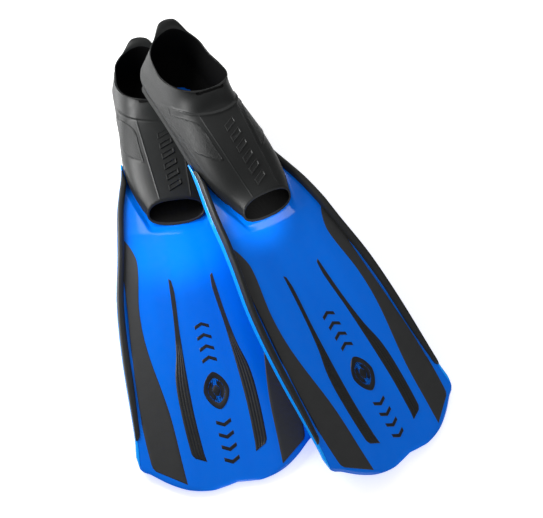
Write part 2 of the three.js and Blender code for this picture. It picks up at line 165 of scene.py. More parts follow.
blade_edge = through([
    (-283, 106.3), (-262, 104), (-169, 101.8), (-100, 96.3), (-39, 85), (23, 74.6), (59, 65.2), (76, 60.2),
    (90, 57.0), (ARM_END_Y, 54.6),
])
arm_dip = through([(-10, 0), (20, -3.5), (40, -6.5), (60, -10), (76, -13), (ARM_END_Y, -19)])
wall_top = through([(-283, 3.6), (-200, 3.8), (80, 3.8), (ARM_END_Y, 0.6)])
wall_foot = through([(-283, -1.5), (-200, -3), (-20, -4.6), (80, -4.6), (ARM_END_Y, -1.2)])
rail_top = through([(RAIL_END_Y, 6.2), (-200, 8.5), (-20, 12.5), (RAIL_ROOT_Y, 11)])
tip_curve = through([
    (0, -333.5), (15, -335.5), (31, -336.5), (55, -331), (75, -320), (94, -305), (104, -297), (106.3, -283),
])
seat_floor = through([(-20, -3.3), (4, -2.6), (30, -1.0), (80, -1.0)])
slot_edge = through([(-262, 94), (-250, 93.3), (-195, 91.2), (-150, 88.0), (-105, 84.5), (-80, 84)])


def blade_plane(x):
    """Height of the blade's upper face across X: a flat channel between two raised lands."""
    across = np.abs(x)
    rise = LAND_Z / (LAND_HALF - CHANNEL_HALF)
    return rise * (soft_positive(across - CHANNEL_HALF) - soft_positive(across - LAND_HALF))


def toe_seat(x, y):
    """1 at the pocket's foot, falling to 0 where the seat round the pocket meets the blade's plane."""
    lip_middle_y, lip_sweep, lip_half = 0.5, 5.5, 37.0
    width_beside, width_ahead, overlap = 7.5, 15.0, 1.0
    lip_y = lip_middle_y + lip_sweep * np.minimum(np.abs(x) / lip_half, 1) ** 2
    beside = np.maximum(np.abs(x) - pocket_half(np.maximum(y, TOE_Y)) + overlap, 0) / width_beside
    ahead = np.maximum(lip_y - y, 0) / width_ahead
    return np.clip(1 - np.hypot(beside, ahead), 0, 1)


def rail_slot(x, y):
    """1 in the middle of the long slot between the rail and the flank panel, 0 outside it."""
    outer = blade_edge(y) - RAIL_INSET
    width = np.maximum(outer - slot_edge(y), 0.1)
    share = np.clip((np.abs(x) - slot_edge(y)) / width, 0, 1)
    hollow = np.clip(4 * share * (1 - share), 0, 1) ** 0.5
    return hollow * smoothstep(*SLOT_START, y) * smoothstep(*SLOT_END, y)


def blade_surface(x, y):
    """Height of the blade's upper face."""
    seat = toe_seat(x, y)
    plane = blade_plane(x)
    return plane + (seat_floor(y) - plane) * seat - SLOT_DEPTH * rail_slot(x, y) + arm_dip(y)


def floor_height(y):
    """Where the floor is under the left fin, in its fin frame."""
    return -(FLOOR_DROP + y * math.sin(FLOOR_PITCH)) / math.cos(FLOOR_PITCH)


# ---------- mesh functions


class Shape:
    """Points and faces of one piece in the fin frame, with a value per point for its material to read."""

    def __init__(self):
        self.points, self.faces, self.kinds, self.marks = [], [], [], []
        self.count = 0

    def add_points(self, points, mark=0.0):
        points = np.asarray(points, float).reshape(-1, 3)
        marks = np.broadcast_to(np.asarray(mark, float).reshape(-1), (len(points),))
        self.points.append(points)
        self.marks.append(marks)
        first = self.count
        self.count += len(points)
        return first

    def add_faces(self, faces, kind=0):
        self.faces.extend(faces)
        self.kinds.extend([kind] * len(faces))

    def grid(self, points, mark=0.0, wrap=False, kind=0):
        """A net of quads over points[row, column]. Returns the index of each point."""
        rows, columns = points.shape[:2]
        first = self.add_points(points, mark)
        index = first + np.arange(rows * columns).reshape(rows, columns)
        across = np.hstack([index, index[:, :1]]) if wrap else index
        self.add_faces(quads(across), kind)
        return index

    def strip(self, *lines, kind=0):
        """Quads between neighbouring lines of point indices of the same length."""
        self.add_faces(quads(np.array(lines)), kind)


def quads(index):
    """Faces between the neighbours of a net of point indices."""
    a, b, c, d = index[:-1, :-1], index[1:, :-1], index[1:, 1:], index[:-1, 1:]
    return np.stack([a, b, c, d], axis=-1).reshape(-1, 4).tolist()


def slab(shape, top, bottom, mark_top=0.0, mark_bottom=0.0):
    """A closed sheet between two nets of points of the same size."""
    upper = shape.grid(top, mark_top)
    lower = shape.grid(bottom, mark_bottom)
    for line in (np.s_[0, :], np.s_[-1, :], np.s_[:, 0], np.s_[:, -1]):
        shape.strip(upper[line], lower[line])


def tube(shape, rings, mark=0.0):
    """A closed body through rings[station, point], its ends closed to their middles."""
    index = shape.grid(rings, mark, wrap=True)
    for end in (0, -1):
        middle = shape.add_points(rings[end].mean(axis=0))
        ring = index[end]
        shape.add_faces([[int(a), int(b), middle] for a, b in zip(ring, np.roll(ring, -1))])


def spaced(count, edge):
    """Shares from 0 to 1, the first and last steps as small as edge."""
    return np.concatenate([[0], np.linspace(edge, 1 - edge, count), [1]])


# ---------- one fin


class Fin:
    """Where one fin's own frame lies in the shared frame, worked out from the part's joints."""

    def __init__(self, side):
        self.side = side
        joints = {joint["name"]: joint for joint in frame["joints"]}
        flex = np.array(joints[f"{side}_blade_flex"]["pos_m"])
        fold = np.array(joints[f"{side}_heel_fold"]["pos_m"])
        across = -np.array(joints[f"{side}_blade_flex"]["axis"])
        self.turn = self.basis(across, fold - flex) @ self.basis((1.0, 0, 0), FOLD_POINT - FLEX_POINT).T
        self.origin = flex - self.turn @ FLEX_POINT / 1000

    @staticmethod
    def basis(across, along):
        x = np.array(across, float) / np.linalg.norm(across)
        y = np.array(along, float) / np.linalg.norm(along)
        return np.stack([x, y, np.cross(x, y)], axis=1)

    def place(self, points):
        return np.asarray(points, float) / 1000 @ self.turn.T + self.origin

    def matrix(self):
        turned = np.eye(4)
        turned[:3, :3] = self.turn / 1000
        turned[:3, 3] = self.origin
        return Matrix(turned.tolist())

    def make(self, name, shape, materials, slot, replaces=(), crease=38, weld=False):
        """The shape as a Blender object of this fin, its normals outward."""
        points = np.concatenate(shape.points)
        mesh = bpy.data.meshes.new(f"{self.side}_{name}")
        mesh.from_pydata(points.tolist(), [], shape.faces)
        mesh.polygons.foreach_set("material_index", shape.kinds)
        rest = mesh.attributes.new("fin_place", "FLOAT_VECTOR", "POINT")
        rest.data.foreach_set("vector", (points / 10).astype(np.float32).ravel())
        value = mesh.attributes.new("mark", "FLOAT", "POINT")
        value.data.foreach_set("value", np.concatenate(shape.marks).astype(np.float32))
        net = bmesh.new()
        net.from_mesh(mesh)
        if weld:
            middle = [v for v in net.verts if abs(v.co.x) < 1e-4]
            bmesh.ops.remove_doubles(net, verts=middle, dist=1e-3)
        bmesh.ops.recalc_face_normals(net, faces=net.faces)
        net.to_mesh(mesh)
        net.free()
        mesh.transform(self.matrix())
        mesh.polygons.foreach_set("use_smooth", [True] * len(mesh.polygons))
        mesh.set_sharp_from_angle(angle=math.radians(crease))
        for material in materials:
            mesh.materials.append(material)
        piece = bpy.data.objects.new(f"{self.side}_{name}", mesh)
        bpy.context.scene.collection.objects.link(piece)
        if replaces:
            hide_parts(*[f"{self.side}_{node}" for node in replaces])
        return piece

    def bend_with_blade(self, piece):
        start, end = self.place([(0, FLEX_START_Y, 0), (0, FLEX_END_Y, 0)])
        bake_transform(piece)

    def bend_with_heel(self, piece):
        lean = np.array([0, math.cos(FOLD_LEAN), math.sin(FOLD_LEAN)])
        ends = [FOLD_POINT - FOLD_BEFORE * lean, FOLD_POINT + FOLD_AFTER * lean]
        start, end = self.place(ends)
        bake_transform(piece)

    def ride_on_foot(self, piece):
        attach(piece, f"{self.side}_foot")


# ---------- blade shape

ROW_STEPS = [*range(1, 5), *[4] * 4, *[6] * 2, *[7] * 6, 6, 5, 4, *[3] * 9, *range(4, 13)]
STRAIGHT_ROWS = ARM_END_Y + 2 - np.cumsum([0, *ROW_STEPS])  # closest at the arms' ends and round the toe
TIP_BENDS = np.concatenate([np.linspace(0, 0.96, 30), [0.975, 0.987, 0.995, 1.0]])
DISH_COLUMNS, LAND_COLUMNS = 20, 26
LAND_SHARES = np.linspace(0, 1, LAND_COLUMNS + 1)[1:] ** 1.15
DISH_CLEARANCE = 0.6  # the dish is this much narrower than the pocket
DISH_START = (-1, 7)  # the blade sinks into the dish between these Ys
UNDER_DISH_START = (-25, 8)  # and so does its underside between these
WALL_CREST_IN = np.array([WALL_WIDTH, WALL_WIDTH - 0.3, WALL_WIDTH - 0.9, 0.7, 0.15, 0.0])
WALL_FOOT_IN = np.array([WALL_WIDTH, WALL_WIDTH - 0.1, WALL_WIDTH - 0.5, 0.8, 0.25, 0.05])
WALL_HIGHLIGHT_MARKS = [0.3, 1, 1, 1, 1, 1]  # the wall's points are marked for a paler colour, a painted highlight on the edge walls


def blade_half_rows():
    """For each row of the blade: its edge's Y, and how far it has gone from straight to the tip's curve."""
    straight = [(float(y), 0.0) for y in STRAIGHT_ROWS]
    bent = [(STRAIGHT_END_Y + (CORNER_Y - STRAIGHT_END_Y) * t, t) for t in TIP_BENDS]
    return straight + bent


def row_y(x, edge_y, bend):
    """Y along one row of the blade: straight across near the foot, parallel to the tip's curve at the tip."""
    out = blade_edge(edge_y)
    across = np.abs(x) / out * blade_edge(CORNER_Y)
    return edge_y + bend ** 1.5 * (tip_curve(across) - CORNER_Y)


def wall_heights(edge_y, bend):
    """Crest and foot of the edge wall on one row. Near the tip the wall runs out into the blade."""
    dip = arm_dip(edge_y)
    crest, foot = wall_top(edge_y) + dip, wall_foot(edge_y) + dip
    flat = smoothstep(0.9, 1.0, bend)
    crest += (LAND_Z + 0.4 - crest) * flat
    foot += (LAND_Z - BLADE_THICKNESS - foot) * flat
    return crest, foot


def thinned(z, bend):
    """Heights on one row, drawn in towards the middle of the blade at its very tip."""
    share = 1.0 if bend < 0.99 else (0.55 if bend < 1 else 0.15)
    return MIDDLE_Z + (z - MIDDLE_Z) * share


def dish_section(edge_y):
    """The dish that the pocket sits in: its half width on one row, and shares of that and of its depth."""
    angle = np.linspace(math.pi / 2, 0, DISH_COLUMNS)
    power = 2 / bottom_squareness(edge_y)
    return pocket_half(edge_y) - DISH_CLEARANCE, np.cos(angle) ** power, np.sin(angle) ** power


def top_half_row(edge_y, bend):
    """Upper face of one half row as far as the wall: X, Z, and the height of the dish's rim."""
    half, share, depth = dish_section(edge_y)
    wall_inside = blade_edge(edge_y) - WALL_WIDTH - 0.2
    x = np.concatenate([half * share, half + (wall_inside - half) * LAND_SHARES])
    z = blade_surface(x, row_y(x, edge_y, bend))
    rim = min(pocket_side(edge_y), float(z[DISH_COLUMNS]))
    dish = rim - (rim - pocket_bottom(edge_y) - 0.9) * depth
    sunk = smoothstep(*DISH_START, edge_y)
    z[:DISH_COLUMNS] = z[:DISH_COLUMNS] * (1 - sunk) + dish * sunk
    return x, z, rim


def under_half_row(edge_y, top_z, rim):
    """Underside of one half row as far as the wall: X and Z."""
    dish_wall, least_thickness = 3.6, 2.3
    half, share, depth = dish_section(edge_y)
    wall_inside = blade_edge(edge_y) - WALL_WIDTH - 0.2
    sunk = smoothstep(*DISH_START, edge_y)
    under_half = min(half + dish_wall, wall_inside - 0.4)
    land = half + (wall_inside - half) * LAND_SHARES
    under_land = under_half + (wall_inside + 0.2 - under_half) * LAND_SHARES
    x = np.concatenate([(half + (under_half - half) * sunk) * share, land + (under_land - land) * sunk])
    z = blade_plane(x) - BLADE_THICKNESS + arm_dip(edge_y)
    dish = rim - (rim - pocket_bottom(edge_y) + 2.8) * depth
    sunk = smoothstep(*UNDER_DISH_START, edge_y)
    z[:DISH_COLUMNS] = z[:DISH_COLUMNS] * (1 - sunk) + dish * sunk
    return x, np.minimum(z, top_z - least_thickness)


def full_row(stretches, edge_y, bend):
    """Points of a whole row from the (X, Z) stretches of its right half."""
    x, z = (np.concatenate(values) for values in zip(*stretches))
    half = np.stack([x, row_y(x, edge_y, bend), z], axis=1)
    return np.concatenate([half[:0:-1] * (-1, 1, 1), half])


def blade_skin_shape():
    """The blue moulding: blade, upright edge walls, side arms and the dish that the pocket sits in."""
    tops, bottoms = [], []
    for edge_y, bend in blade_half_rows():
        out = blade_edge(edge_y)
        crest, foot = wall_heights(edge_y, bend)
        x, z, rim = top_half_row(edge_y, bend)
        z = thinned(z, bend)
        under_x, under_z = under_half_row(edge_y, z, rim)
        under_edge = min(foot + 1.6, LAND_Z - BLADE_THICKNESS + arm_dip(edge_y))
        crest_z = np.array([crest - 1.4, crest - 0.4, crest, crest, crest - 0.5, (crest + foot) / 2])
        foot_z = np.array([under_edge, foot + 0.5, foot, foot, foot + 0.3, foot + 0.9])
        top = [(x, z), (out - WALL_CREST_IN, thinned(crest_z, bend))]
        under = [(under_x, thinned(under_z, bend)), (out - WALL_FOOT_IN, thinned(foot_z, bend))]
        tops.append(full_row(top, edge_y, bend))
        bottoms.append(full_row(under, edge_y, bend))
    # the edge walls' marks call for the painted highlight colour
    half_highlight_marks = np.array([0.0] * (DISH_COLUMNS + LAND_COLUMNS) + WALL_HIGHLIGHT_MARKS)
    marks = np.tile(np.concatenate([half_highlight_marks[:0:-1], half_highlight_marks]), (len(tops), 1))
    shape = Shape()
    slab(shape, np.array(tops), np.array(bottoms), marks, marks)
    return shape


RAIL_SECTION = [  # shares of the rail's width, from outside in, and of its height
    (0, 0), (0, 0.5), (0.03, 0.75), (0.08, 0.9), (0.14, 0.97), (0.22, 1.0), (0.3, 1.0), (0.5, 0.95),
    (0.72, 0.87), (0.86, 0.74), (0.95, 0.56), (1, 0.34), (1, 0),
]


def rail_shape():
    """The right rail: a rubber rib lying inside the edge wall, with a soft ridge along its crest."""
    rounding, sunk, least_width = 8.0, 0.8, 1.4
    ends = np.array([0, 0.4, 1.2, 2.6, 5, rounding])
    along = np.linspace(RAIL_END_Y + 14, RAIL_ROOT_Y - 14, 90)
    rings = []
    for y in np.concatenate([RAIL_END_Y + ends, along, RAIL_ROOT_Y - ends[::-1]]):
        outer = blade_edge(y) - RAIL_OUTSET
        beside_pocket = pocket_half(y) + 0.3 if y > 30 else 0.0
        inner = max(blade_edge(y) - RAIL_INSET, beside_pocket)
        from_end = min(y - RAIL_END_Y, RAIL_ROOT_Y - y)
        full = math.sqrt(max(1 - (1 - min(from_end / rounding, 1)) ** 2, 0.02))
        taper = 0.7 + 0.3 * smoothstep(RAIL_END_Y, -190, y)
        width = max(outer - inner, least_width) * full * taper
        low = LAND_Z - sunk + arm_dip(y)
        rise = (rail_top(y) - LAND_Z + sunk) * full
        rings.append([(outer - width * a, y, low + rise * b) for a, b in RAIL_SECTION])
    shape = Shape()
    tube(shape, np.array(rings))
    return shape


BORDER_LIFT = 0.05


def tile(shape, plan, surface, proud, sunk, relief=None, mark=0.0):
    """A thin closed tile over plan[row, column] (x, y), following a surface, its borders rounded down."""
    ground = surface(plan[..., 0], plan[..., 1])
    lift = np.full(ground.shape, float(proud))
    if relief is not None:
        lift = lift + relief
    lift[[0, -1], :] = BORDER_LIFT
    lift[:, [0, -1]] = BORDER_LIFT
    top = np.dstack([plan, ground + lift])
    bottom = np.dstack([plan, ground - sunk])
    slab(shape, top, bottom, mark)


def ruled_plan(first, second, across):
    """A plan net between two lines of points, at shares across."""
    return first[:, None, :] + (second - first)[:, None, :] * np.asarray(across)[None, :, None]


PANEL_INNER = [(77.5, -8), (67, -27), (62, -50), (71, -112), (71, -160), (60, -242), (57, -305), (56, -325)]
PANEL_OUTER = [(84.5, -105), (88.5, -150), (92, -195), (93.3, -250), (91, -297), (88, -303)]
STRIP_INNER = [(25, -78), (24, -95), (28.5, -150), (32, -240), (30.5, -292), (29, -304.5)]
STRIP_OUTER = [(28, -75), (32.5, -132), (38, -172), (45, -203), (47, -235), (45, -292), (42, -298)]


def flank_panel_shape():
    """The right dark panel between the blade's land and the rail."""
    along = spaced(70, 0.003)
    upper = [(blade_edge(y) - RAIL_INSET + 1.0, y) for y in (-8, -30, -60)]
    inner = curve_through(PANEL_INNER, along)
    outer = curve_through(upper + PANEL_OUTER, along)
    across = spaced(12, 0.03)
    shape = Shape()
    tile(shape, ruled_plan(inner, outer, across), blade_surface, proud=0.7, sunk=1.4)
    return shape


def strip_shape():
    """The right ribbed strip beside the channel: four long ribs, notched across."""
    rib_count, rib_height, notch_pitch, border_share = 4, 0.85, 2.4, 0.06
    along = spaced(290, 0.004)
    inner = curve_through(STRIP_INNER, along)
    outer = curve_through(STRIP_OUTER, along)
    across = spaced(rib_count * 4 + 1, border_share)
    plan = ruled_plan(inner, outer, across)
    width = np.linalg.norm(outer - inner, axis=1)[:, None]
    rib = np.abs(np.sin(math.pi * rib_count * (across - border_share / 2) / (1 - border_share)))[None, :]
    notch = 0.5 + 0.5 * np.cos(2 * math.pi * plan[..., 1] / notch_pitch)
    wide = smoothstep(6, 10, width)
    relief = wide * (rib_height * rib - 0.25) * (0.72 + 0.28 * notch) + (1 - wide) * 0.12 * notch
    shape = Shape()
    mark = np.clip(rib * wide, 0, 1).ravel()
    tile(shape, plan, blade_surface, proud=0.5, sunk=1.4, relief=relief, mark=mark)
    return shape


def mirrored_shape(shape):
    """The same piece on the fin's other side."""
    other = Shape()
    other.points = [points * (-1, 1, 1) for points in shape.points]
    other.faces, other.kinds, other.marks = shape.faces, shape.kinds, shape.marks
    return other


LOZENGE_RINGS = [  # shares of the outline, and heights over the blade
    (1.0, -1.2), (1.0, 0.1), (0.97, 0.7), (0.72, 0.7), (0.66, 0.0), (0.3, 0.0), (0.24, 0.6), (0.05, 0.7),
]


def mark_shape():
    """A plain long lozenge with a sunk middle, at the middle of the blade."""
    centre_y, half_long, half_wide, pointed = -225.0, 23.0, 15.5, 1.25
    turns = np.linspace(0, 2 * math.pi, 49)[:-1]
    across = np.sign(np.cos(turns)) * np.abs(np.cos(turns)) ** pointed * half_wide
    along = np.sign(np.sin(turns)) * np.abs(np.sin(turns)) ** pointed * half_long
    rings = []
    for share, lift in LOZENGE_RINGS:
        x, y = across * share, along * share + centre_y
        rings.append(np.stack([x, y, blade_surface(x, y) + lift], axis=1))
    shape = Shape()
    tube(shape, np.array(rings))
    return shape


def mark_bars_shape():
    """Two rows of four plain chevrons, one each side of the lozenge."""
    half_wide, rise, pitch = 9.0, 4.5, 14.5
    across = np.linspace(-half_wide, half_wide, 15)
    along = np.array([0, 0.6, 3.9, 4.5])
    tip = rise * (1 - np.abs(across) / half_wide)
    shape = Shape()
    for row_start, pointing in ((-190.0, 1), (-260.0, -1)):
        for k in range(4):
            y = row_start + pointing * (k * pitch + tip[None, :] + along[:, None])
            plan = np.dstack(np.broadcast_arrays(across[None, :], y))
            tile(shape, plan, blade_surface, proud=0.55, sunk=1.0)
    return shape


# ---------- pocket shape

FRONT_STATIONS, BACK_STATIONS = 132, 84  # closed sections, and sections of the open collar
LOW_COLUMNS = 22
BAND_COLUMNS = (14, 22, 24, 20)  # side to leaf foot, to leaf top, to crease, to the middle
COLLAR_START = (171.0, 164.0, 150.0)  # Y of the last closed section at its top, side and bottom
TOP_LEVEL = 0.78  # how flat the pocket's upper facet is
TAB_PULL = np.array([0, 9.5, 2.6])  # how far the rim is drawn out to the pull tab
TAB_SIDE, TAB_START = (9.5, 27), (240, 250)  # Xs over which the pull fades, Ys over which it starts

OUTER_RIM = [
    (0, 171), (23, 174.6), (37.8, 186.8), (43, 206), (42, 228.5), (37.8, 250.5), (24, 265), (0, 271.5),
]
INNER_RIM = [(0, 173), (22, 176.5), (36, 188), (41, 206), (40, 228), (36, 249), (23, 263), (0, 269.5)]
rim_height = through([
    (171, 31.1), (176, 29.6), (188, 23), (200, 16.5), (212, 11.5), (228, 8.0), (249, 8.4), (262, 12.5),
    (272, 22.5),
])
facet_half = through([(20, 19), (150, 28)])

# The seam's Y by the distance round the pocket from its middle line, and the leaf's distances by Y.

seam_y = through([(0, 141.5), (13, 142.7), (28, 147), (39.5, 154.5), (52, 166.5), (63, 178), (88, 196)])
leaf_top = through([(82, 30), (107, 32), (128, 33), (140, 38), (155, 51), (170, 68)])
leaf_foot = through([(82, 31), (86, 36), (100, 50), (112, 57.5), (130, 63.5), (156, 72), (180, 86)])


def toe_station(height_at, inset):
    """Y where one of the pocket's long lines meets the slanted plane of the toe opening."""
    y = TOE_Y
    for _ in range(12):
        y = TOE_Y + (height_at(y) + inset) * TOE_SLANT
    return y


def heel_path(inset, start_y, fractions):
    """The pocket's widest line from one Y round to the middle of the heel's back."""
    straight_y = np.linspace(start_y, HEEL_CENTRE_Y, 60)
    turn = np.linspace(0, math.pi / 2, 80)[1:]
    straight_x = pocket_half(straight_y) - inset
    turned_x = (pocket_half(HEEL_CENTRE_Y) - inset) * np.cos(turn)
    y = np.concatenate([straight_y, HEEL_CENTRE_Y + (HEEL_REACH - inset) * np.sin(turn)])
    path = resample(np.stack([np.concatenate([straight_x, turned_x]), y, pocket_side(y)], axis=1), fractions)
    path[-1, 0] = 0
    return path


def pocket_lines(inset, rim):
    """The bottom, side and top lines of one skin of the pocket's right half, as points by station."""
    inner_delay, thinning, bottom_end_y = 2.0, 12.0, 262.0
    top_y, side_y, low_y = COLLAR_START
    if inset:
        top_y += inner_delay
    front = np.linspace(0, 1, FRONT_STATIONS)
    back = np.linspace(0, 1, BACK_STATIONS + 1)[1:]

    def line_y(height_at, offset, end_y):
        start_y = toe_station(height_at, offset)
        return start_y + (end_y - start_y) * front

    y_top = line_y(pocket_top, -inset, top_y)
    y_side = line_y(pocket_side, 0, side_y)
    y_low = line_y(pocket_bottom, inset, low_y)
    z_top = pocket_top(y_top) - inset * smoothstep(top_y, top_y - thinning, y_top)
    zero = np.zeros_like(front)
    top = np.stack([zero, y_top, z_top], axis=1)
    side = np.stack([pocket_half(y_side) - inset, y_side, pocket_side(y_side)], axis=1)
    low = np.stack([zero, y_low, pocket_bottom(y_low) + inset], axis=1)

    outline = curve_through(rim, back, level_ends=True)
    outline[-1, 0] = 0
    back_top = np.column_stack([outline, rim_height(outline[:, 1])])
    back_side = heel_path(inset, side_y, back)
    back_y = low_y + (bottom_end_y - inset - low_y) * back
    back_low = np.stack([np.zeros_like(back), back_y, pocket_bottom(back_y) + inset], axis=1)
    return np.vstack([low, back_low]), np.vstack([side, back_side]), np.vstack([top, back_top])


def arch(side, end, squareness, open_share):
    """A quarter section of the pocket from its side line to its top or bottom line."""
    angle = np.linspace(0, math.pi / 2, 160)
    rise = np.sin(angle) ** (2 / squareness)
    lean = 1 - np.cos(angle) ** (2 / squareness)
    back = rise * (1 - open_share) + lean * open_share
    return side + (end - side) * np.stack([lean, back, rise], axis=1)


def pocket_skin(inset, rim, tab):
    """One skin of the pocket's right half as points[station, column], bottom to top, with the tab's pull."""
    opening, tab_squareness = (FRONT_STATIONS * 0.55, FRONT_STATIONS * 1.15), 1.2
    low, side, top = pocket_lines(inset, rim)
    pull = np.zeros(len(top))
    back = slice(FRONT_STATIONS, None)
    pull[back] = (1 - smoothstep(*TAB_SIDE, top[back, 0])) * smoothstep(*TAB_START, top[back, 1])
    if tab:
        top = top + pull[:, None] * TAB_PULL
    open_shares = smoothstep(*opening, np.arange(len(top)))
    rows, bands = [], None
    for k, open_share in enumerate(open_shares):
        closed = k < FRONT_STATIONS
        squareness = top_squareness(top[k, 1]) + tab_squareness * pull[k] * tab
        upper = arch(side[k], top[k], squareness, open_share)
        lower = arch(side[k], low[k], bottom_squareness(low[k, 1]), open_share)[::-1]
        bands = band_shares(upper, inset) if closed else bands
        low_part = resample(lower, np.linspace(0, 1, LOW_COLUMNS + 1))[:-1]
        high_part = resample(upper, bands)
        if closed:
            flatten_top(high_part)
        rows.append(np.vstack([low_part, high_part]))
    return ease_collar_start(np.array(rows)), pull


def ease_collar_start(skin):
    """Rounds the change of slope where the closed sections end and the open collar begins."""
    reach, passes, kept_at_top, kept_at_bottom = 16, 45, 9, 3
    near = slice(FRONT_STATIONS - reach, FRONT_STATIONS + reach + 1)
    along = np.cos(np.linspace(-math.pi / 2, math.pi / 2, 2 * reach + 1))[1:-1]
    last = skin.shape[1] - 1
    column = np.arange(last + 1)
    across = smoothstep(last, last + 1 - kept_at_top, column) * smoothstep(0, kept_at_bottom, column)
    weight = 0.5 * along[:, None, None] * across[None, :, None]
    band = skin[near]
    for _ in range(passes):
        band[1:-1] += weight * ((band[:-2] + band[2:]) / 2 - band[1:-1])
    return skin


def band_shares(section, inset):
    """Shares along a half section, side to top, with columns on the crease and on the leaf's two lines."""
    least_band, least_side, border, leaf_at = 3.0, 4.0, 0.5, 45.0
    steps = np.linalg.norm(np.diff(section, axis=0), axis=1)
    length = steps.sum()
    from_top = length - np.concatenate([[0], np.cumsum(steps)])
    crease = np.interp(facet_half(section[-1, 1]) - 0.6 * inset, section[::-1, 0], from_top[::-1])
    y = np.interp(leaf_at, from_top[::-1], section[::-1, 1])
    leaf_start = max(leaf_top(y), crease + least_band)
    leaf_end = min(max(leaf_foot(y), leaf_start + least_band), length - least_side)
    marks = 1 - np.array([length, leaf_end, leaf_start, crease, 0]) / length
    shares = [np.array([0.0])]
    for start, end, count in zip(marks, marks[1:], BAND_COLUMNS):
        edge = border / (length * (end - start))
        within = np.append(np.linspace(edge, 1 - edge, count - 1), 1)
        shares.append(start + (end - start) * within)
    return np.concatenate(shares)


def outward(points):
    """Unit normals of a net of points, pointing away from the pocket's inside."""
    along = np.gradient(points, axis=0)
    across = np.gradient(points, axis=1)
    normal = np.cross(across, along)
    return normal / np.maximum(np.linalg.norm(normal, axis=2, keepdims=True), 1e-9)


def flatten_top(section):
    """Levels a half section of the pocket between its crease and its middle."""
    facet = slice(-BAND_COLUMNS[-1], None)
    at_crease = section[-BAND_COLUMNS[-1] - 1, 2]
    level = TOP_LEVEL * (1 - smoothstep(95, 176, section[facet, 1]))
    section[facet, 2] -= level * (section[facet, 2] - at_crease)


def bead(distance, width):
    """1 on a line, falling softly to 0 beside it."""
    return np.exp(-((distance / width) ** 2))


def leaf_relief(y, wrap, behind_seam):
    """Depth of the grained leaf panel on the pocket's side, and where its grain lies."""
    depth, edge_depth, edge_width, edge_inset, ramp = 0.6, 0.5, 0.7, 0.4, 0.5
    past_top, before_foot = wrap - leaf_top(y), leaf_foot(y) - wrap
    here = smoothstep(82, 84, y) * (1 - smoothstep(-3.0, -1.5, behind_seam))
    inside = smoothstep(0, ramp, past_top) * smoothstep(0, ramp, before_foot) * here
    edges = bead(past_top - edge_inset, edge_width) + bead(before_foot - edge_inset, edge_width)
    return -depth * inside - edge_depth * np.clip(edges, 0, 1) * here, inside


def pocket_relief(skin):
    """Moulded detail on the pocket's outside: crease, leaf panel, collar step and the rand along the sole."""
    y = skin[..., 1]
    steps = np.linalg.norm(np.diff(skin, axis=1), axis=2)
    from_top = np.cumsum(steps[:, ::-1], axis=1)[:, ::-1]
    wrap = np.concatenate([from_top, np.zeros((len(skin), 1))], axis=1) + skin[:, -1:, 0]
    widest = wrap[:, LOW_COLUMNS:LOW_COLUMNS + 1]
    behind_seam = y - seam_y(wrap)

    seam_depth, crease_depth, rand_height = 0.7, 0.5, 0.7
    step = smoothstep(-0.4, 2.0, behind_seam) - seam_depth * bead(behind_seam + 0.9, 1.2)
    collar = step * (1 - smoothstep(70, 90, wrap))
    crease = crease_depth * bead(wrap - facet_half(y) - 1.0, 0.8) * (1 - smoothstep(140, 152, y))
    rand_ends = smoothstep(6, 14, y) * (1 - smoothstep(150, 168, y))
    rand = rand_height * smoothstep(-7.5, -6.0, wrap - widest) * rand_ends
    leaf, grain = leaf_relief(y, wrap, behind_seam)
    return collar + rand - crease + leaf, grain


def ribbed_floor(inner):
    """Height of the fine ribs along the floor inside the toe."""
    pitch, rib_height, side_columns = 3.2, 0.45, 4
    on_floor = np.arange(inner.shape[1]) < LOW_COLUMNS - side_columns
    rib = 0.5 + 0.5 * np.cos(2 * math.pi * inner[..., 0] / pitch)
    return rib_height * rib * (1 - smoothstep(20, 60, inner[..., 1])) * on_floor


def pocket_shape():
    """The rubber foot pocket, toe opening to pull tab, as one closed wall of two skins."""
    outer, pull = pocket_skin(0.0, OUTER_RIM, True)
    inner, _ = pocket_skin(RUBBER, INNER_RIM, False)
    inner[..., 2] += ribbed_floor(inner)
    normal = outward(outer)
    height, leaf = pocket_relief(outer)
    height[FRONT_STATIONS:, -1] *= 0.5
    height[0, :] = 0
    on_middle = np.abs(outer[..., 0]) < 1e-6
    outer = outer + normal * height[..., None]
    outer[..., 0] = np.where(on_middle, 0, np.maximum(outer[..., 0], 0))
    inner[..., 0] = np.maximum(inner[..., 0], 0)

    shape = Shape()
    for sign in (1, -1):
        flip = np.array([sign, 1, 1])
        outside = shape.grid(outer * flip, leaf)
        # the inside faces take the second look, whose darker colour is painted shade
        inside = shape.grid(inner * flip, kind=1)

        lip = []
        for share, bulge in ((0.12, 0.45), (0.5, 0.8), (0.88, 0.45)):
            toe = outer[0] * (1 - share) + inner[0] * share - np.array([0, bulge, 0])
            lip.append(shape.add_points(toe * flip) + np.arange(len(toe)))
        shape.strip(outside[0], *lip, inside[0])

        start = FRONT_STATIONS - 1
        rim_swell = 0.7 + 2.3 * pull[start:]
        rims = []
        for share in (0.06, 0.16, 0.4, 0.7, 0.9):
            rim = outer[start:, -1] * (1 - share) + inner[start:, -1] * share
            rim[:, 2] += rim_swell * math.sin(math.pi * share) ** 0.5
            rims.append(shape.add_points(rim * flip) + np.arange(len(rim)))
        shape.strip(outside[start:, -1], *rims, inside[start:, -1])
    return shape


def pocket_roof(x, y):
    """Height of the pocket's upper facet."""
    half, n, side = pocket_half(y), top_squareness(y), pocket_side(y)

    def section(across):
        return side + (pocket_top(y) - side) * (1 - np.clip(np.abs(across) / half, 0, 1) ** n) ** (1 / n)

    at_crease = section(facet_half(y))
    return section(x) - TOP_LEVEL * (section(x) - at_crease)


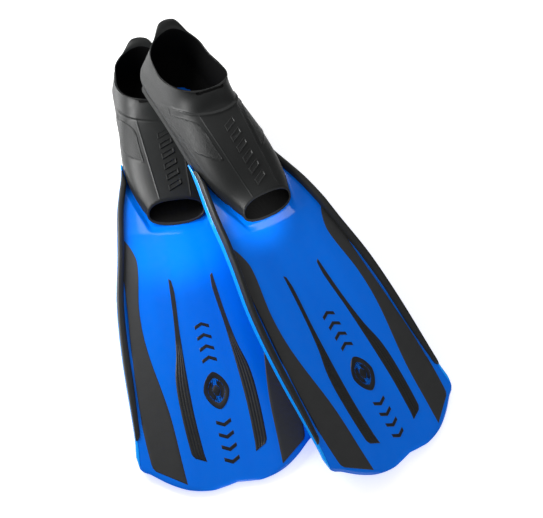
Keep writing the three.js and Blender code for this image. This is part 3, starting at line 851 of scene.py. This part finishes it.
def grip_bars_shape():
    """Six plain slanted bars raised on the pocket's upper facet, each with a sunk middle."""
    count, first_y, pitch, slant, middle_x = 6, 45.0, 15.5, 0.5, 3.0
    proud, hollow = 1.3, 1.1
    across = np.array([-9, -8.6, -7.6, -6.8, -3, 0, 3, 6.8, 7.6, 8.6, 9])
    along = np.array([-4.4, -4.0, -3.0, -2.2, 2.2, 3.0, 4.0, 4.4])
    middle = (np.abs(along) < 2.5)[:, None] * (np.abs(across) < 7.0)[None, :]
    x = middle_x + across[None, :] + 0 * along[:, None]
    shape = Shape()
    for k in range(count):
        y = first_y + pitch * k + along[:, None] + slant * across[None, :]
        tile(shape, np.dstack([x, y]), pocket_roof, proud, sunk=1.0, relief=-hollow * middle)
    return shape


# ---------- sole and foot bed shape


def sole_shape():
    """The rubber sole: a shallow pad with bevelled sides and grooves across."""
    start_y, end_y, inset, thickness, into_pocket, floor_gap = 18.0, 251.4, 5.0, 4.2, 0.8, 0.2
    block_pitch, block_height, least_tread, toe_bevel = 9.0, 1.4, 0.4, 2.0
    cradle_end, cradle_side, cradle_floor = (90, 93), 2.8, 2.2
    round_heel = np.linspace(HEEL_CENTRE_Y + 1, end_y, 22)
    straight = np.linspace(start_y + 2, HEEL_CENTRE_Y, 220)
    across = np.linspace(-1, 1, 33)
    tops, bottoms = [], []
    for y in np.concatenate([[start_y, start_y + 0.6], straight, round_heel]):
        past = max((y - HEEL_CENTRE_Y) / (end_y - HEEL_CENTRE_Y + 0.4), 0)
        half = (pocket_half(y) - inset) * math.sqrt(max(1 - past * past, 0.0004))
        half *= 0.55 + 0.45 * smoothstep(start_y - 4, start_y + 22, y)
        base = pocket_bottom(y)
        cradle = 1 - smoothstep(*cradle_end, y)
        share = np.clip(np.abs(across) * half / (pocket_half(y) + cradle_side * cradle), 0, 1)
        n = bottom_squareness(y)
        curve = (1 - (1 - share ** n) ** (1 / n)) * (pocket_side(y) - base)
        top = base + curve - cradle_floor * cradle + into_pocket * (1 - cradle)
        block = smoothstep(0.55, 0.9, abs(math.sin(math.pi * y / block_pitch)))
        tread = (least_tread + block_height * block) * (1 - smoothstep(0.78, 0.95, np.abs(across)))
        low = base - thickness + 0.55 * curve - tread
        if y < start_y + 0.5:
            low = low + toe_bevel
        low = np.maximum(low, floor_height(y) + floor_gap)
        x = across * half
        tops.append(np.stack([x, np.full_like(x, y), np.maximum(top, low + 0.8)], axis=1))
        bottoms.append(np.stack([x, np.full_like(x, y), low], axis=1))
    shape = Shape()
    slab(shape, np.array(tops), np.array(bottoms))
    return shape


def foot_bed_shape():
    """The stiff plate on the pocket's floor, its toe end round and its borders rounded down."""
    start_y, end_y, thickness, clearance, above_floor = 64.0, 222.0, 2.4, 7.0, 0.2
    toe_round, heel_round, narrowing, rib_height, rib_rate = 12, 26, 0.25, 0.25, 0.9
    toe_end = [start_y, start_y + 0.8, start_y + 3]
    heel_end = end_y - np.array([15, 10, 6, 3, 1, 0])
    across = np.sin(np.linspace(-1, 1, 25) * math.pi / 2)
    tops, bottoms = [], []
    for y in np.concatenate([toe_end, np.linspace(start_y + 8, end_y - 20, 26), heel_end]):
        ahead = max(1 - (y - start_y) / toe_round, 0)
        past = max((y - end_y) / heel_round + 1, 0)
        ends = math.sqrt(max(1 - past * past, 0.003)) * (1 - narrowing * ahead ** 2)
        x = across * (pocket_half(y) - RUBBER - clearance) * ends
        n = bottom_squareness(y)
        bowl = (1 - (np.abs(x) / (pocket_half(y) - RUBBER)) ** n) ** (1 / n)
        floor = pocket_side(y) - (pocket_side(y) - pocket_bottom(y) - RUBBER) * bowl
        rib = rib_height * np.cos(x * rib_rate) * (np.abs(across) < 0.9)
        thick = thickness * np.sqrt(np.clip(1 - np.abs(across) ** 8, 0.02, 1))
        tops.append(np.stack([x, np.full_like(x, y), floor + above_floor + thick + rib], axis=1))
        bottoms.append(np.stack([x, np.full_like(x, y), floor + above_floor], axis=1))
    shape = Shape()
    slab(shape, np.array(tops), np.array(bottoms))
    return shape


# ---------- materials


class Paint:
    """A node material built up step by step. Patterns are fixed to each fin's own frame, in centimetres."""

    def __init__(self, name):
        self.material = bpy.data.materials.new(name)
        self.material.use_nodes = True
        self.nodes = self.material.node_tree.nodes
        self.links = self.material.node_tree.links
        self.shader = self.nodes["Principled BSDF"]
        self.place = self.attribute("fin_place", "Vector")
        self.mark = self.attribute("mark", "Fac")

    def attribute(self, name, output):
        node = self.nodes.new("ShaderNodeAttribute")
        node.attribute_name = name
        return node.outputs[output]

    def set(self, **values):
        for name, value in values.items():
            self.shader.inputs[name.replace("_", " ").title().replace("Ior", "IOR")].default_value = value

    def noise(self, scale, detail=3.0, roughness=0.5, stretch=(1, 1, 1)):
        mapping = self.nodes.new("ShaderNodeMapping")
        mapping.inputs["Scale"].default_value = stretch
        self.links.new(self.place, mapping.inputs["Vector"])
        node = self.nodes.new("ShaderNodeTexNoise")
        node.inputs["Scale"].default_value = scale
        node.inputs["Detail"].default_value = detail
        node.inputs["Roughness"].default_value = roughness
        self.links.new(mapping.outputs["Vector"], node.inputs["Vector"])
        return node.outputs["Fac"]

    def cells(self, scale):
        node = self.nodes.new("ShaderNodeTexVoronoi")
        node.inputs["Scale"].default_value = scale
        self.links.new(self.place, node.inputs["Vector"])
        return node.outputs["Distance"]

    def spread(self, value, low, high):
        """A noise value, which stays mostly between 0.25 and 0.75, carried to low to high."""
        node = self.nodes.new("ShaderNodeMapRange")
        node.inputs["From Min"].default_value = 0.25
        node.inputs["From Max"].default_value = 0.75
        node.inputs["To Min"].default_value = low
        node.inputs["To Max"].default_value = high
        self.links.new(value, node.inputs["Value"])
        return node.outputs["Result"]

    def multiply(self, a, b):
        node = self.nodes.new("ShaderNodeMath")
        node.operation = "MULTIPLY"
        for socket, value in zip(node.inputs, (a, b)):
            if isinstance(value, (int, float)):
                socket.default_value = value
            else:
                self.links.new(value, socket)
        return node.outputs["Value"]

    def mix(self, share, first, second):
        node = self.nodes.new("ShaderNodeMix")
        node.data_type = "RGBA"
        self.links.new(share, node.inputs["Factor"])
        for socket, colour in zip((node.inputs[6], node.inputs[7]), (first, second)):
            if isinstance(colour, tuple):
                socket.default_value = (*colour, 1.0)
            else:
                self.links.new(colour, socket)
        return node.outputs[2]

    def colour(self, value):
        self.links.new(value, self.shader.inputs["Base Color"])

    def roughness(self, value):
        self.links.new(value, self.shader.inputs["Roughness"])

    def bump(self, height, depth, strength=1.0):
        """Adds a relief of this depth in mm on top of the reliefs already there."""
        node = self.nodes.new("ShaderNodeBump")
        node.inputs["Distance"].default_value = depth / 1000
        node.inputs["Strength"].default_value = strength
        self.links.new(height, node.inputs["Height"])
        socket = self.shader.inputs["Normal"]
        if socket.is_linked:
            self.links.new(socket.links[0].from_socket, node.inputs["Normal"])
        self.links.new(node.outputs["Normal"], socket)


def blue_plastic():
    """Gloss moulded plastic, paler where the edge walls are marked: a painted highlight."""
    paint = Paint("gloss_blue_plastic")
    flow = paint.noise(0.35, 2.0, stretch=(1, 0.3, 1))
    body = paint.mix(flow, (0.0, 0.135, 0.74), (0.0, 0.160, 0.80))
    # the marked edge walls take a paler cyan blue: a painted highlight, not a different plastic
    paint.colour(paint.mix(paint.mark, body, (0.005, 0.33, 1.0)))
    paint.roughness(paint.spread(paint.noise(1.2), 0.16, 0.24))
    paint.set(coat_weight=0.3, coat_roughness=0.1, ior=1.42)
    paint.bump(paint.noise(2.2, 1.0), 0.05)
    return paint.material


def black_rubber(name, dark, light, rough, grain):
    """Mottled black rubber with a fine grain of this depth in mm."""
    paint = Paint(name)
    mottle = paint.noise(0.9, 5.0, 0.6)
    paint.colour(paint.mix(mottle, dark, light))
    paint.roughness(paint.spread(paint.noise(6.0, 4.0), rough - 0.05, rough + 0.08))
    paint.set(ior=1.5)
    paint.bump(paint.noise(30.0, 3.0, 0.7), grain)
    return paint


def pocket_rubber():
    """The pocket's rubber, with a coarse leather-like grain where the leaf panels are marked."""
    paint = black_rubber("pocket_rubber", (0.008, 0.009, 0.009), (0.013, 0.014, 0.014), 0.50, 0.06)
    paint.bump(paint.multiply(paint.cells(13.0), paint.mark), 0.22)
    return paint.material


def shaded_inside_rubber():
    """The inside of the pocket: the same rubber, duller, its colour darkened as painted shade."""
    paint = black_rubber("shaded_inside_rubber", (0.003, 0.003, 0.003), (0.005, 0.005, 0.005), 0.8, 0.05)
    paint.set(ior=1.2)
    return paint.material


def pale_floor():
    """A matt pale floor that gives a little light of its own."""
    paint = Paint("pale_floor")
    white = (1.0, 1.0, 1.0, 1.0)
    paint.set(base_color=(0.93, 0.93, 0.93, 1.0), roughness=0.9, emission_color=white, emission_strength=0.45)
    return paint.material


# ---------- both fins

materials = {
    "blue": blue_plastic(),
    "pocket": pocket_rubber(),
    "inside_shade": shaded_inside_rubber(),
    "rail": black_rubber("rail_rubber", (0.016, 0.017, 0.017), (0.024, 0.025, 0.025), 0.45, 0.05).material,
    "panel": black_rubber("panel_rubber", (0.024, 0.025, 0.026), (0.033, 0.034, 0.035), 0.62, 0.05).material,
    "strip": black_rubber("strip_rubber", (0.014, 0.015, 0.015), (0.022, 0.023, 0.023), 0.45, 0.05).material,
    "ink": black_rubber("mark_ink", (0.012, 0.014, 0.018), (0.020, 0.022, 0.028), 0.38, 0.04).material,
    "sole": black_rubber("sole_rubber", (0.020, 0.021, 0.021), (0.034, 0.035, 0.035), 0.7, 0.09).material,
}
skin, rail, panel, strip = blade_skin_shape(), rail_shape(), flank_panel_shape(), strip_shape()
lozenge, bars, pocket, grips = mark_shape(), mark_bars_shape(), pocket_shape(), grip_bars_shape()
sole, bed = sole_shape(), foot_bed_shape()
fins = {side: Fin(side) for side in ("left", "right")}

for fin in fins.values():
    blue = [materials["blue"]]
    fin.bend_with_blade(fin.make("blade_skin", skin, blue, "blue_plastic", ("blade", "toe_cradle")))
    for hand, flip in (("r", False), ("l", True)):
        for name, shape, look, nodes in (
            ("rail_rib", rail, "rail", (f"rail_{hand}", f"rail_root_{hand}")),
            ("panel", panel, "panel", (f"flank_panel_{hand}",)),
            ("ribbed_strip", strip, "strip", (f"strip_{hand}",)),
        ):
            handed = mirrored_shape(shape) if flip else shape
            rubber = [materials[look]]
            fin.bend_with_blade(fin.make(f"{name}_{hand}", handed, rubber, "black_rubber", nodes))
    fin.bend_with_blade(fin.make("lozenge", lozenge, [materials["ink"]], "mark_ink", ("mark",)))
    fin.bend_with_blade(fin.make("chevrons", bars, [materials["ink"]], "mark_ink"))
    # the second look is the pocket's inside, its colour darkened as painted shade
    looks = [materials["pocket"], materials["inside_shade"]]
    fin.bend_with_heel(fin.make(
        "pocket_shell", pocket, looks, "black_rubber", ("foot_pocket", "heel_cup"), crease=50, weld=True,
    ))
    fin.ride_on_foot(fin.make("grip_bars", grips, [materials["strip"]], "black_rubber"))
    fin.ride_on_foot(fin.make("tread_sole", sole, [materials["sole"]], "black_rubber", ("sole",)))
    fin.ride_on_foot(fin.make("inner_bed", bed, blue, "blue_plastic", ("foot_bed",)))

# ---------- floor, light and camera

scene = bpy.context.scene
scene.view_settings.view_transform = "Standard"

VIEW_POINT = (-196.7, -453.9, 911.6)  # the camera, and its own axes, in the left fin's frame
VIEW_RIGHT = np.array([0.9454, -0.2462, 0.2135])
VIEW_UP = np.array([0.1371, 0.8949, 0.4246])
LENS_MM = 53.04
LOOK_AT = np.array([60.0, -40.0, 20.0])  # middle of the pair

left = fins["left"]
eye, target = left.place([VIEW_POINT, LOOK_AT])
right_way = left.turn @ VIEW_RIGHT
up_way = left.turn @ VIEW_UP
right_way /= np.linalg.norm(right_way)
up_way = up_way - right_way * (up_way @ right_way)
up_way /= np.linalg.norm(up_way)
back_way = np.cross(right_way, up_way)

stand = np.eye(4)
stand[:3] = np.column_stack([right_way, up_way, back_way, eye])
camera = bpy.data.objects.new("camera", bpy.data.cameras.new("camera"))
camera.data.lens = LENS_MM
camera.data.sensor_width = 36
camera.matrix_world = Matrix(stand.tolist())
scene.collection.objects.link(camera)
scene.camera = camera


def hang_light(name, kind, place, aim, power):
    """A light at one place in the shared frame, aimed at another."""
    light = bpy.data.objects.new(name, bpy.data.lights.new(name, kind))
    light.data.energy = power
    light.location = place
    light.rotation_euler = Vector(aim - place).to_track_quat("-Z", "Y").to_euler()
    scene.collection.objects.link(light)
    return light


def softbox(name, place, aim, size, power):
    """A square light out of the camera's sight, from one place in the left fin's frame to another."""
    light = hang_light(name, "AREA", *left.place([place, aim]), power)
    light.data.size = size
    light.visible_camera = False


def toe_spot(place, aim, spread, power):
    """A soft round pool of light, from one place in the left fin's frame to another."""
    light = hang_light("toe_spot", "SPOT", *left.place([place, aim]), power)
    light.data.spot_size = math.radians(spread)
    light.data.spot_blend = 1.0
    light.data.shadow_soft_size = 0.02


fill_place = target + 1.2 * right_way - 0.7 * up_way + 1.2 * back_way
fill_place[2] = max(fill_place[2], 0.25)
fill = hang_light("fill", "AREA", fill_place, target, 3)
fill.data.size = 0.9
softbox("key", (-310, 206, 262), (-10, -40, 0), 0.25, 3.2)
softbox("back", (475, 780, 836), (55, 0, 20), 0.5, 2.0)
toe_spot((-280, -170, 430), (-6, -34, 0), 14, 14)
toe_spot((-40, -300, 480), (90, -30, 54), 9, 20)


def studio_world(seen, diffuse, glossy):
    """A white surround that is bright to the camera and dimmer in the light and reflections it gives."""
    world = bpy.data.worlds.new("studio")
    world.use_nodes = True
    nodes, links = world.node_tree.nodes, world.node_tree.links
    path = nodes.new("ShaderNodeLightPath")
    total = None
    for ray, strength in (("Is Camera Ray", seen), ("Is Diffuse Ray", diffuse), ("Is Glossy Ray", glossy)):
        part = nodes.new("ShaderNodeMath")
        part.operation = "MULTIPLY_ADD"
        part.inputs[1].default_value = strength
        part.inputs[2].default_value = 0.0
        links.new(path.outputs[ray], part.inputs[0])
        if total is not None:
            links.new(total, part.inputs[2])
        total = part.outputs[0]
    links.new(total, nodes["Background"].inputs["Strength"])
    nodes["Background"].inputs["Color"].default_value = (1, 1, 1, 1)
    return world


scene.world = studio_world(seen=1.0, diffuse=0.52, glossy=0.01)

bpy.ops.mesh.primitive_plane_add(size=14, location=(0, 0, -0.0006))
floor = bpy.context.active_object
floor.name = "floor"
floor.data.materials.append(pale_floor())
